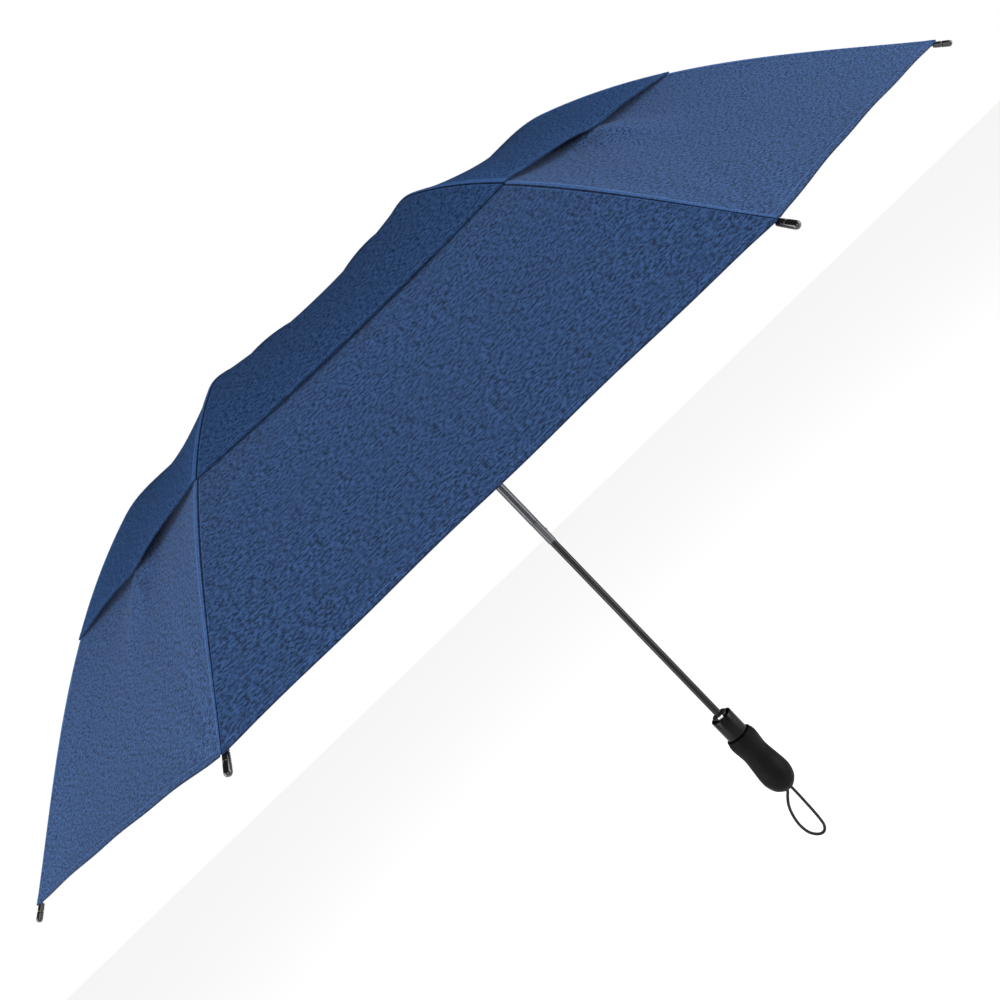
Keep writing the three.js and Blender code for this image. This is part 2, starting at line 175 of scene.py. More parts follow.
def turned(name, profile, material, sides=96, matrix=None, flutes=0, flute_depth=0.0):
    """A turned piece around +Z from (radius, z) points in millimetres; radius 0 closes on the axis.

    Flutes are cut into its widest part only.
    """
    profile = outward(profile)
    widest = max(radius for radius, _ in profile)
    vertices = []
    faces = []
    rings = []
    for radius, z in profile:
        if radius == 0:
            vertices.append((0, 0, z * MM))
            rings.append([len(vertices) - 1])
            continue
        start = len(vertices)
        for i in range(sides):
            angle = 2 * math.pi * i / sides
            flute = flute_depth * max(0, math.cos(flutes * angle)) ** 2 if radius == widest else 0
            reach = (radius - flute) * MM
            vertices.append((reach * math.cos(angle), reach * math.sin(angle), z * MM))
        rings.append(list(range(start, start + sides)))
    on_axis = len(rings[0]) == 1 and len(rings[-1]) == 1
    pairs = list(zip(rings, rings[1:] if on_axis else rings[1:] + rings[:1]))
    for lower, upper in pairs:
        for i in range(sides):
            j = (i + 1) % sides
            if len(lower) == 1 and len(upper) == 1:
                continue
            if len(lower) == 1:
                faces.append((lower[0], upper[j], upper[i]))
            elif len(upper) == 1:
                faces.append((lower[i], lower[j], upper[0]))
            else:
                faces.append((lower[i], lower[j], upper[j], upper[i]))
    obj = make_mesh(name, vertices, faces, material)
    if matrix:
        obj.data.transform(matrix)
    return obj


def spline_points(points, per_span):
    """A smooth line through the points."""
    points = [Vector(p) for p in points]
    padded = [2 * points[0] - points[1]] + points + [2 * points[-1] - points[-2]]
    line = []
    for i in range(len(points) - 1):
        a, b, c, d = padded[i : i + 4]
        for step in range(per_span):
            t = step / per_span
            line.append(
                0.5
                * (
                    2 * b
                    + (c - a) * t
                    + (2 * a - 5 * b + 4 * c - d) * t * t
                    + (3 * b - a - 3 * c + d) * t**3
                )
            )
    line.append(points[-1])
    return line


def swept(name, route, radius, material, across, sides):
    """A closed wire or cord along a route; radius(walked, angle) gives its section."""
    vertices = []
    walked = 0
    for i, point in enumerate(route):
        before = route[max(i - 1, 0)]
        after = route[min(i + 1, len(route) - 1)]
        walked += (point - before).length
        tangent = (after - before).normalized()
        normal = tangent.cross(across).normalized()
        upright = normal.cross(tangent)
        for side in range(sides):
            angle = 2 * math.pi * side / sides
            spoke = upright * math.cos(angle) + normal * math.sin(angle)
            vertices.append(point + spoke * radius(walked, angle))
    faces = bridge_rings(len(route), sides)
    faces.append(tuple(reversed(range(sides))))
    faces.append(tuple(range((len(route) - 1) * sides, len(route) * sides)))
    return make_mesh(name, vertices, faces, material)


def cut(obj, cutter):
    """Takes the cutter's volume out of a piece and drops the cutter."""
    difference = obj.modifiers.new("cut", "BOOLEAN")
    difference.operation = "DIFFERENCE"
    difference.solver = "EXACT"
    difference.object = cutter
    evaluated = obj.evaluated_get(bpy.context.evaluated_depsgraph_get())
    shaped = bpy.data.meshes.new_from_object(evaluated)
    obj.modifiers.clear()
    obj.data = shaped
    bpy.data.objects.remove(cutter)
    shaped.set_sharp_from_angle(angle=SHARP_ANGLE)


def prism(name, outline, near, far):
    """A closed piece with an (x, z) outline in millimetres, pushed along +Y."""
    count = len(outline)
    vertices = [(x * MM, y * MM, z * MM) for y in (near, far) for x, z in outline]
    faces = bridge_rings(2, count)
    faces.append(tuple(reversed(range(count))))
    faces.append(tuple(range(count, 2 * count)))
    return make_mesh(name, vertices, faces)


def rectangle(x, z):
    """Corners in the order that makes a prism's faces point outward."""
    return [(x[0], z[0]), (x[0], z[1]), (x[1], z[1]), (x[1], z[0])]


def upright_oval(half_width, half_height, centre):
    """An (x, z) outline in millimetres: half circles above and below a straight part."""
    count = 64
    straight = half_height - half_width
    outline = []
    for i in range(count):
        angle = 2 * math.pi * (i + 0.5) / count
        side = 1 if math.sin(angle) > 0 else -1
        height = half_width * math.sin(angle) + side * straight
        outline.append((half_width * math.cos(angle), centre + height))
    return outline


# ---------- wrist strap: the CAD route's (x, z) points in millimetres, then in metres ----------

STRAP_R = 1.75 * MM
STRAP_POINTS = [
    (-2.2, -40), (-2.4, -44.5), (-5.2, -48.5), (-9.6, -53), (-14.6, -59.5), (-18.6, -68),
    (-21.2, -78), (-22.2, -88), (-20.8, -99), (-16.6, -107), (-10.6, -112), (-4.6, -111.6),
    (-0.8, -106), (0.6, -97), (1.4, -85), (1.9, -70), (2.2, -55), (2.2, -46), (2.2, -40),
]
STRAP_ROUTE = [(x * MM, 0, z * MM) for x, z in STRAP_POINTS]

# ---------- node trees ----------


class Tree:
    """Short calls for building one material's nodes."""

    def __init__(self, name):
        self.material = bpy.data.materials.new(name)
        self.material.use_nodes = True
        self.nodes = self.material.node_tree.nodes
        self.links = self.material.node_tree.links
        self.nodes.clear()
        output = self.nodes.new("ShaderNodeOutputMaterial")
        self.shader = self.nodes.new("ShaderNodeBsdfPrincipled")
        self.links.new(self.shader.outputs[0], output.inputs[0])

    def add(self, kind, inputs=(), **settings):
        node = self.nodes.new(kind)
        for key, value in settings.items():
            setattr(node, key, value)
        for key, value in dict(inputs).items():
            self.put(node.inputs[key], value)
        return node

    def put(self, socket, value):
        if isinstance(value, bpy.types.NodeSocket):
            self.links.new(value, socket)
        else:
            socket.default_value = value

    def math(self, operation, *values):
        node = self.add("ShaderNodeMath", operation=operation)
        for socket, value in zip(node.inputs, values):
            self.put(socket, value)
        return node.outputs[0]

    def remap(self, value, from_low, from_high, to_low=0.0, to_high=1.0):
        inputs = {0: value, 1: from_low, 2: from_high, 3: to_low, 4: to_high}
        return self.add("ShaderNodeMapRange", inputs, interpolation_type="SMOOTHSTEP").outputs[0]

    def noise(self, vector, scale, detail=2.0):
        inputs = {"Vector": vector, "Scale": scale, "Detail": detail, "Roughness": 0.5}
        return self.add("ShaderNodeTexNoise", inputs).outputs["Fac"]

    def stretch(self, vector, scale):
        inputs = {"Vector": vector, "Scale": scale}
        return self.add("ShaderNodeMapping", inputs).outputs[0]

    def blend(self, factor, a, b):
        node = self.add("ShaderNodeMix", data_type="RGBA")
        self.put(node.inputs[0], factor)
        self.put(node.inputs[6], a)
        self.put(node.inputs[7], b)
        return node.outputs[2]

    def bump(self, height, distance, strength=1.0, normal=None):
        inputs = {"Height": height, "Distance": distance, "Strength": strength}
        node = self.add("ShaderNodeBump", inputs)
        if normal:
            self.put(node.inputs["Normal"], normal)
        return node.outputs[0]

    def object_space(self):
        return self.add("ShaderNodeTexCoord").outputs["Object"]

    def set(self, **values):
        """Sets sockets of the shader; an underscore stands for a space."""
        for key, value in values.items():
            self.put(self.shader.inputs[key.replace("_", " ")], value)
        return self.material


def shade(color, share):
    return (color[0] * share, color[1] * share, color[2] * share, 1)


def hard_surface(name, color, roughness, spread=0.15, grain=0.4 * MM, relief=0.02 * MM, **sockets):
    """Moulded or plated finish: colour and gloss drift a little, over a fine surface grain."""
    tree = Tree(name)
    place = tree.object_space()
    drift = tree.noise(place, 60, detail=3)
    fine = tree.noise(place, 1 / grain, detail=2)
    tone = tree.blend(drift, shade(color, 1 - spread), shade(color, 1 + spread))
    gloss = tree.remap(drift, 0.3, 0.7, roughness * 0.85, roughness * 1.15)
    tree.set(Base_Color=tone, Roughness=gloss, Normal=tree.bump(fine, relief))
    return tree.set(**sockets)


CLOTH_COLOR = (0.022, 0.053, 0.136)
BAND_WIDTH = 5 * MM
BAND_RISE = 0.5 * MM
BAND_LAP = 2.6 * MM
HEM_FOLD = 7.5 * MM
HEM_STITCH = 6.2 * MM  # distance of the hem's stitches from its edge
# Heather strokes: width and height in millimetres, and share in the mix.
WEAVE_GRAINS = ((2.6, 0.42, 0.27), (0.42, 2.2, 0.15), (9, 1.1, 0.25), (3.4, 2.4, 0.33))


def cloth_material(name, sheen):
    """Heathered weave in panel coordinates, with stitched seams and hems from their distances, and painted
    shadow lines beside the seams and along the hem.
    """
    tree = Tree(name)
    weave = tree.add("ShaderNodeUVMap", uv_map="weave").outputs[0]
    distances = tree.add("ShaderNodeUVMap", uv_map="seams").outputs[0]
    seams = tree.add("ShaderNodeSeparateXYZ", {0: distances})
    along = tree.add("ShaderNodeSeparateXYZ", {0: weave})
    rib_distance = seams.outputs[0]
    hem_distance = seams.outputs[1]

    mixed = 0.0
    for width, height, share in WEAVE_GRAINS:
        grain = tree.noise(tree.stretch(weave, (1 / (width * MM), 1 / (height * MM), 1)), 1, detail=1)
        mixed = tree.math("MULTIPLY_ADD", grain, share, mixed)
    cloud = tree.noise(tree.stretch(weave, (1 / (45 * MM), 1 / (30 * MM), 1)), 1, detail=3)
    heather = tree.remap(mixed, 0.43, 0.57)
    tone = tree.blend(heather, shade(CLOTH_COLOR, 0.35), shade(CLOTH_COLOR, 1.75))
    tone = tree.blend(tree.remap(cloud, 0.35, 0.65, 0, 0.2), tone, shade(CLOTH_COLOR, 1.15))

    def line(distance, place, half):
        off = tree.math("ABSOLUTE", tree.math("SUBTRACT", distance, place))
        return tree.remap(off, 0.6 * half, half, 1, 0)

    def dashes(run, pitch_length, share):
        cycle = tree.math("FRACT", tree.math("DIVIDE", run, pitch_length))
        return tree.math("LESS_THAN", cycle, share)

    def tint(mask, strength, share):
        return tree.blend(tree.math("MULTIPLY", mask, strength), tone, shade(CLOTH_COLOR, share))

    # Each tint is a mask, its strength and how bright the cloth is there.
    tone = tint(line(rib_distance, 1 * MM, 3.6 * MM), 0.35, 2.3)
    rungs = dashes(along.outputs[1], 2.6 * MM, 0.45)
    ladder = tree.math("MULTIPLY", line(rib_distance, 1 * MM, 3 * MM), rungs)
    stitches = tree.math("MULTIPLY", ladder, 0.6)
    for distance, row, run in (
        (rib_distance, -1.6 * MM, along.outputs[1]),
        (rib_distance, 3.6 * MM, along.outputs[1]),
        (hem_distance, HEM_STITCH, along.outputs[0]),
    ):
        row_line = tree.math("MULTIPLY", line(distance, row, 0.5 * MM), dashes(run, 3.2 * MM, 0.7))
        stitches = tree.math("MAXIMUM", row_line, stitches)
    tone = tint(stitches, 0.5, 3.2)
    # Painted shadow: a dark line just outside the seam's lapped step on the plain panel.
    tone = tint(line(rib_distance, -3.2 * MM, 0.9 * MM), 0.85, 0.08)
    tone = tint(line(rib_distance, -4.6 * MM, 0.6 * MM), 0.4, 2.4)
    # Painted shade: the hem's outer millimetre darkened, where the underside lies in shadow.
    tone = tint(tree.remap(hem_distance, 0.3 * MM, 1.3 * MM, 1, 0), 0.75, 0.2)

    relief = tree.bump(mixed, 0.22 * MM, 0.8)
    tree.set(Base_Color=tone, Roughness=0.95, Normal=tree.bump(stitches, 0.2 * MM, 0.6, relief))
    return tree.set(Specular_IOR_Level=0.0, Sheen_Weight=sheen, Sheen_Roughness=0.6)


def cord_material():
    tree = Tree("braided_cord")
    place = tree.object_space()
    fibres = tree.noise(place, 1 / (0.5 * MM), detail=3)
    tone = tree.blend(fibres, (0.002, 0.002, 0.0025, 1), (0.012, 0.0125, 0.0135, 1))
    tree.set(Base_Color=tone, Roughness=0.8, Normal=tree.bump(fibres, 0.2 * MM))
    return tree.set(Specular_IOR_Level=0.2)


BRIGHT_METAL = (0.5, 0.51, 0.53)
CLOTH = cloth_material("heathered_cloth", 0.035)
VENT_CLOTH = cloth_material("heathered_vent_cloth", 0.004)
CORD = cord_material()
STEEL = hard_surface("zinc_steel", BRIGHT_METAL, 0.32, Metallic=1.0)
CHROME = hard_surface("bright_chrome", BRIGHT_METAL, 0.12, spread=0.04, relief=0, Metallic=1.0)
TUBE_CHROME = hard_surface("tube_chrome", (0.055, 0.056, 0.06), 0.24, spread=0.06, relief=0, Metallic=1.0)
DARK_SHAFT = hard_surface("black_nickel", (0.009, 0.0093, 0.01), 0.22, spread=0.06, relief=0, Metallic=0.8)
SLEEVE = hard_surface("grey_sleeve", (0.05, 0.051, 0.054), 0.4, Metallic=0.6)
GLASS_FIBRE = hard_surface("glass_fibre", (0.02, 0.02, 0.022), 0.45, grain=0.6 * MM)
GLOSS = hard_surface("gloss_black", (0.0006, 0.0006, 0.0007), 0.15, relief=0, Specular_IOR_Level=0.1)
TIP_BLACK = hard_surface("tip_black", (0.002, 0.002, 0.0022), 0.16, relief=0)
MATTE = hard_surface("matte_black", (0.012, 0.012, 0.013), 0.5)
SOFT = hard_surface(
    "soft_touch", (0.0018, 0.0018, 0.002), 0.6, grain=0.5 * MM, Specular_IOR_Level=0.06
)


def latch_ring_material():
    """Black ring with a bright wear plate on its front."""
    tree = Tree("latch_ring")
    place = tree.object_space()
    side = tree.add("ShaderNodeSeparateXYZ", {0: place}).outputs[0]
    aside = tree.math("ABSOLUTE", tree.math("SUBTRACT", side, -1 * MM))
    plate = tree.remap(aside, 3 * MM, 3.6 * MM, 1, 0)
    drift = tree.noise(place, 300)
    bright = tree.blend(drift, shade(BRIGHT_METAL, 1), (0.7, 0.71, 0.73, 1))
    tree.set(Base_Color=tree.blend(plate, (0.002, 0.002, 0.0022, 1), bright), Metallic=plate)
    return tree.set(Roughness=0.25, Specular_IOR_Level=0.1)


LATCH_RING = latch_ring_material()

# ---------- strap ----------


def make_strap():
    route = spline_points(STRAP_ROUTE, 14)
    lay = 7 * MM
    strands = 3

    def twisted(walked, angle):
        strand = abs(math.cos(strands / 2 * angle + math.pi * strands * walked / lay))
        return STRAP_R * (0.94 + 0.14 * strand)

    strap = swept("strap_loop", route, twisted, CORD, Vector((0, 1, 0)), sides=18)
    attach(strap, "handle", "strap_cord", "wrist_strap")


make_strap()

# ---------- canopy surface ----------

CLOTH_THICK = 0.45 * MM
STEP_SIDE = 0.5 * MM  # width of the slope beside a seam band or a hem fold
SAG_UPPER = 11 * MM
SAG_LOWER = 14 * MM
SAG_LOST = 9 * MM
SAG_LOSS_START = 0.72  # share of HEM_R where the sag begins to shrink
TACK_PULL = 8.8 * MM
VENT_GAPE = 4 * MM
HEM_HOLLOW = 6 * MM


def smooth(value, start, end):
    t = np.clip((value - start) / (end - start), 0, 1)
    return t * t * (3 - 2 * t)


def rise(r):
    q = (r / HEM_R) ** 2
    dome = DOME_RISE * sum(factor * q**power for power, factor in enumerate(DOME_CURVE))
    return dome - CROWN_FLAT * (1 - smooth(r, CROWN_FLAT_R, SHOULDER_R))


def pitch(r):
    step = 0.5 * MM
    return np.arctan((rise(r - step) - rise(r + step)) / (2 * step))


ARC_STATIONS = np.linspace(0, TIP_R, 500)
ARC_STEPS = np.hypot(np.diff(ARC_STATIONS), np.diff(rise(ARC_STATIONS)))
ARC_LENGTHS = np.concatenate([[0], np.cumsum(ARC_STEPS)])


def arc(r):
    return np.interp(r, ARC_STATIONS, ARC_LENGTHS)


def chord(r):
    return 2 * r * HALF_STEP_SINE


def bell(value, width):
    return np.exp(-((value / width) ** 2))


class Layer:
    """One of the two canopies: its radii and how its panels hollow between the ribs."""

    def __init__(self, name, start, end, lift):
        self.name = name
        self.start = start
        self.end = end
        self.lift = lift

    def edge(self, panel, e):
        """Radius of the outer edge across a panel, from rib to rib as e goes from 0 to 1."""
        if self.name == "upper":
            return np.full_like(e, self.end)
        hollow = HEM_HOLLOW * (1.25 if banded(panel) else 0.95)
        notch = 0.8 * MM * bell(np.minimum(e, 1 - e) * chord(self.end), 1.6 * MM)
        return self.end - hollow * 4 * e * (1 - e) - notch

    def sag(self, r):
        if self.name == "upper":
            return SAG_UPPER * np.sin(math.pi * r / (1.12 * VENT_R))
        t = np.maximum(0, (r / HEM_R - SAG_LOSS_START) / (1 - SAG_LOSS_START))
        return SAG_LOWER - SAG_LOST * t * t

    def tack(self, panel, e, r):
        """Canopies caught together at mid-panel under the vent's edge, and gaping beside it."""
        across = 4 * e * (1 - e)
        if self.name == "upper":
            gape = VENT_GAPE if banded(panel) else 0
            return gape * across * (1 - bell(e - 0.5, 0.12)) * bell(r - VENT_R, 50 * MM)
        aside = (e - 0.5) * chord(r)
        apart = np.hypot(aside, r - VENT_R)
        crease = 0.6 * MM * np.cos(7 * np.arctan2(r - VENT_R, aside + 1e-9))
        caught = bell(e - 0.5, 0.09) if banded(panel) else across
        pull = TACK_PULL * caught * bell(r - VENT_R, 45 * MM)
        return pull + crease * bell(apart - 30 * MM, 20 * MM)


def banded(panel):
    """Every other panel carries the folded seam on both of its ribs."""
    return panel % 2 == 0


UPPER = Layer("upper", UPPER_START_R, VENT_R, UPPER_LIFT)
LOWER = Layer("lower", LOWER_START_R, HEM_R, 0)


def ripple(layer, panel, e, r, edge):
    """Slight tension folds, flat at the ribs and longest from the rib tips."""
    near = np.minimum(e, 1 - e) * chord(r)
    clear = smooth(near, 2 * MM, 30 * MM)
    phase = panel * 2.4
    broad = 0.25 * MM * np.sin(2 * math.pi * 2.3 * e + phase) * np.sin(r / (50 * MM) + 1.3 * phase)
    waves = 0.5 * MM * np.sin(2 * math.pi * 3.4 * e + phase) * np.exp(-np.abs(edge - r) / (45 * MM))
    reach = np.hypot(near, edge - r)
    fan = np.arctan2(near, edge - r + 1e-9)
    grow = reach / (80 * MM) * np.exp(1 - reach / (80 * MM))
    folds = 0.45 * MM * grow * np.sin(10 * fan + phase)
    share = 0.3 if layer is UPPER else 1
    return share * (broad + waves + folds) * clear


def band_width(r):
    return BAND_WIDTH * (1 - 0.6 * smooth(r, 0.75 * HEM_R, HEM_R))


def seam_relief(panel, near, r, edge):
    """Height of the seam band, its groove and the hem fold over the plain cloth."""
    width = band_width(r)
    if banded(panel):
        seam = BAND_RISE * (1 - smooth(near, width, width + STEP_SIDE))
        seam = seam - 0.15 * MM * bell(near - 0.75 * width, 0.4 * MM)
    else:
        lap = BAND_LAP * width / BAND_WIDTH
        seam = BAND_RISE * (1 - smooth(near, lap, lap + STEP_SIDE))
        seam = seam - 0.15 * MM * bell(near - 0.6 * lap, 0.4 * MM)
    inside = (edge - r) / np.cos(pitch(r))
    hem = 1 - smooth(inside, HEM_FOLD, HEM_FOLD + STEP_SIDE)
    return seam + 0.2 * MM * hem - 0.15 * MM * bell(inside - HEM_STITCH, 0.5 * MM)


def surface(layer, panel, e, r):
    """Outer face of the cloth at a share e across the panel and a radius r along its ribs."""
    start = rib_angle(panel)
    middle = start + RIB_STEP / 2
    slope = pitch(r)
    edge = layer.edge(panel, e)
    near = np.minimum(e, 1 - e) * chord(r)
    height = -layer.sag(r) * 4 * e * (1 - e) + layer.tack(panel, e, r)
    height = height + ripple(layer, panel, e, r, edge) + seam_relief(panel, near, r, edge)
    outset = height * np.sin(slope)
    x = r * ((1 - e) * math.cos(start) + e * math.cos(start + RIB_STEP)) + outset * math.cos(middle)
    y = r * ((1 - e) * math.sin(start) + e * math.sin(start + RIB_STEP)) + outset * math.sin(middle)
    z = RIM_Z + rise(r) + layer.lift + height * np.cos(slope)
    return np.stack([x, y, z], axis=-1)


def surface_normal(layer, panel, e, r):
    step = 0.15 * MM
    share = step / chord(r)
    before = np.clip(e - share, 0, 1)
    after = np.clip(e + share, 0, 1)
    across = surface(layer, panel, after, r) - surface(layer, panel, before, r)
    along = surface(layer, panel, e, r + step) - surface(layer, panel, e, r - step)
    normal = np.cross(along, across)
    return normal / np.linalg.norm(normal, axis=-1, keepdims=True)


# ---------- canopy pieces ----------

# Distances of the mesh lines from a rib and from the hem, closer where the seams are.
NEAR_RIB = np.array([0, 0.3, 0.6, 1.0, 1.6, 2.2, 2.9, 3.6, 4.1, 4.6, 5.1, 5.6, 6.4, 8, 11, 15]) * MM
NEAR_EDGE = np.array([0, 0.5, 1.5, 3, 4.8, 5.7, 6.2, 6.7, 7.3, 8.1, 9.5, 12, 16]) * MM
FAR_COLUMNS = 26
CELL = 8 * MM
# Panels start this far apart in weave coordinates, so that no two show the same pattern.
PANEL_SHIFT = 0.9


def half_columns(r):
    """Shares across the half panel beside a rib, fine along the seam."""
    half = chord(r) / 2
    scale = np.minimum(1, half / (40 * MM))
    near = NEAR_RIB[None, :] * scale[:, None]
    far = np.linspace(0, 1, FAR_COLUMNS + 1)[1:]
    wide = near[:, -1:] + (half[:, None] - near[:, -1:]) * far[None, :]
    return np.concatenate([near, wide], axis=1) / chord(r)[:, None]


def row_shares(start, end, at_edge):
    """Shares along a piece, fine along the hem where it reaches the canopy's edge."""
    length = end - start
    if not at_edge:
        return np.linspace(0, 1, max(2, round(length / CELL)) + 1)
    fine = NEAR_EDGE * math.cos(pitch(end))
    plain = np.linspace(0, length - fine[-1], max(2, round(length / CELL)) + 1)
    return np.concatenate([plain, (length - fine[::-1])[1:]]) / length


def gore(layer, rib, start, end, body):
    """The cloth over one rib, half a panel to each side, closed round its edges."""
    at_edge = end == layer.end
    shares = row_shares(start, end, at_edge)
    nominal = start + (end - start) * shares
    half = half_columns(nominal)
    count = half.shape[1]
    sides = []
    for panel, e in (((rib - 1) % RIBS, 1 - half[:, ::-1]), (rib, half)):
        limit = layer.edge(panel, e) if at_edge else np.full_like(e, end)
        r = start + (limit - start) * shares[:, None]
        face = surface(layer, panel, e, r)
        normal = surface_normal(layer, panel, e, r)
        near = np.minimum(e, 1 - e) * chord(r)
        inside = (layer.edge(panel, e) - r) / np.cos(pitch(r))
        reach = band_width(r) * (1 if banded(panel) else BAND_LAP / BAND_WIDTH)
        band = smooth(reach - near, 0, STEP_SIDE)
        fold = smooth(HEM_FOLD - inside, 0, STEP_SIDE)
        thick = CLOTH_THICK + BAND_RISE * np.maximum(band, fold)
        weave = np.stack([(e - 0.5) * chord(r) + PANEL_SHIFT * panel, arc(r)], axis=-1)
        across = near * BAND_WIDTH / band_width(r)
        seams = np.stack([across if banded(panel) else -across, inside], axis=-1)
        sides.append((face, normal, face - normal * thick[..., None], weave, seams))
    rows = len(shares)
    columns = 2 * count - 1
    outer = np.concatenate([sides[0][0], sides[1][0][:, 1:]], axis=1)
    inner = np.concatenate([sides[0][2], sides[1][2][:, 1:]], axis=1)
    vertices = np.concatenate([outer.reshape(-1, 3), inner.reshape(-1, 3)])

    faces = []
    normals = []
    weaves = []
    seams = []
    hidden = rows * columns

    def corner(row, column, under):
        return row * columns + column + (hidden if under else 0)

    def facts(row, column, side):
        _, normal, _, weave_uv, seam_uv = sides[side]
        local = column - side * (count - 1)
        return normal[row, local], weave_uv[row, local], seam_uv[row, local]

    def quad(corners, side, direction=None, flip=1):
        faces.append([corner(*c) for c in corners])
        for row, column, _ in corners:
            normal, weave_uv, seam_uv = facts(row, column, side)
            normals.append(normal * flip if direction is None else direction)
            weaves.append(weave_uv)
            seams.append(seam_uv)

    tangent = np.array([-math.sin(rib_angle(rib)), math.cos(rib_angle(rib)), 0])
    radial = np.array([math.cos(rib_angle(rib)), math.sin(rib_angle(rib)), 0])
    for row in range(rows - 1):
        for column in range(columns - 1):
            side = 0 if column < count - 1 else 1
            a, b, c, d = (row, column), (row + 1, column), (row + 1, column + 1), (row, column + 1)
            quad([(*a, 0), (*b, 0), (*c, 0), (*d, 0)], side)
            quad([(*a, 1), (*d, 1), (*c, 1), (*b, 1)], side, flip=-1)
        last = columns - 1
        quad([(row, 0, 0), (row, 0, 1), (row + 1, 0, 1), (row + 1, 0, 0)], 0, -tangent)
        quad([(row, last, 0), (row + 1, last, 0), (row + 1, last, 1), (row, last, 1)], 1, tangent)
    last = rows - 1
    for column in range(columns - 1):
        side = 0 if column < count - 1 else 1
        quad([(0, column, 0), (0, column + 1, 0), (0, column + 1, 1), (0, column, 1)], side, -radial)
        rim = [(last, column, 0), (last, column, 1), (last, column + 1, 1), (last, column + 1, 0)]
        quad(rim, side, radial)

    part = "inner" if body.startswith("inner") else "outer"
    name = f"{layer.name}_{part}_gore_{rib + 1}"
    obj = make_mesh(name, vertices, faces, VENT_CLOTH if layer is UPPER else CLOTH)
    mesh = obj.data
    for layer_name, values in (("weave", weaves), ("seams", seams)):
        uv = mesh.uv_layers.new(name=layer_name)
        uv.data.foreach_set("uv", np.array(values, np.float32).ravel())
    mesh.normals_split_custom_set(np.array(normals, float).tolist())
    attach(obj, body, "canopy_cloth", f"{layer.name}_canopy")
    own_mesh(obj)


for rib_number in range(RIBS):
    inner_body = f"inner_arm_{rib_number + 1}"
    outer_body = f"outer_arm_{rib_number + 1}"
    for canopy in (UPPER, LOWER):
        gore(canopy, rib_number, canopy.start, ELBOW_R, inner_body)
        gore(canopy, rib_number, ELBOW_R, canopy.end, outer_body)

# ---------- turned and moulded pieces, with their outlines in millimetres ----------


def rounded(corners, radius):
    """A (radius, z) outline with its marked corners rounded; unmarked ones are kept sharp."""
    steps = 5
    outline = []
    count = len(corners)
    for i, (x, z, soft) in enumerate(corners):
        here = Vector((x, z))
        before = Vector(corners[i - 1][:2])
        after = Vector(corners[(i + 1) % count][:2])
        if not soft:
            outline.append((x, z))
            continue
        reach = min(radius, (before - here).length / 2, (after - here).length / 2)
        start = here + (before - here).normalized() * reach
        end = here + (after - here).normalized() * reach
        for step in range(steps + 1):
            t = step / steps
            outline.append(tuple((1 - t) ** 2 * start + 2 * t * (1 - t) * here + t * t * end))
    return outline


def ring(inner, outer, bottom, top, radius):
    """Outline of a ring with softened edges."""
    corners = [(inner, bottom, 1), (outer, bottom, 1), (outer, top, 1), (inner, top, 1)]
    return rounded(corners, radius)


LOWER_TUBE_R = 4.7
UPPER_TUBE_R = 5.6
TUBE_EDGE = 0.15
CLEARANCE = 0.3


def make_shaft():
    bottom, top = low("upper_tube") / MM, high("upper_tube") / MM
    tube = turned(
        "fluted_tube", ring(5, UPPER_TUBE_R, bottom, top, TUBE_EDGE), TUBE_CHROME,
        sides=256, flutes=8, flute_depth=0.35,
    )
    attach(tube, "upper_shaft", "chrome", "upper_tube")
    bottom, top = low("lower_tube") / MM, high("lower_tube") / MM
    tube = turned("inner_tube", ring(4.1, LOWER_TUBE_R, bottom, top, TUBE_EDGE), DARK_SHAFT, sides=128)
    attach(tube, "handle", "dark_shaft", "lower_tube")
    bottom, top = low("coupling_sleeve") / MM, high("coupling_sleeve") / MM
    sleeve = turned("sleeve", ring(LOWER_TUBE_R + 0.2, 5.3, bottom, top, 0.2), SLEEVE)
    attach(sleeve, "upper_shaft", "grey_sleeve", "coupling_sleeve")
    centre = (low("coupling_rivet") + high("coupling_rivet")) / 2
    place = Matrix.Translation((UPPER_TUBE_R * MM, 0, centre)) @ Matrix.Rotation(math.pi / 2, 4, "Y")
    head = [(0, 0), (1.9, 0), (1.9, 0.18), (1.7, 0.36), (1.3, 0.5), (0.7, 0.58), (0, 0.6)]
    rivet = turned("rivet_head", head, GLOSS, sides=32, matrix=place)
    attach(rivet, "upper_shaft", "grey_sleeve", "coupling_rivet")


def make_crown():
    bottom, top = low("canopy_washer") / MM, high("canopy_washer") / MM
    bore = UPPER_TUBE_R + CLEARANCE
    washer = turned("washer", ring(bore, 15, bottom, top, 0.5), CHROME)
    attach(washer, "upper_shaft", "chrome", "canopy_washer")
    bottom, top = low("ferrule_cap") / MM, high("ferrule_cap") / MM
    bore_top = CROWN_Z / MM + 6.1
    corners = [
        (bore, bottom, 0), (11.5, bottom, 0), (12, bottom + 1, 1), (11.6, bottom + 3, 1),
        (9.5, top - 2.2, 1), (6.5, top - 0.4, 1), (4.5, top, 1), (0, top, 0),
        (0, bore_top, 0), (bore, bore_top, 0),
    ]
    ferrule = turned("ferrule", rounded(corners, 1.5), GLOSS)
    attach(ferrule, "upper_shaft", "gloss_black", "ferrule_cap")


COLLAR_R = 14.25
COLLAR_BORE_R = 12.4
BUTTON_HALF_WIDTH = 8.25
BUTTON_HALF_HEIGHT = 12.25


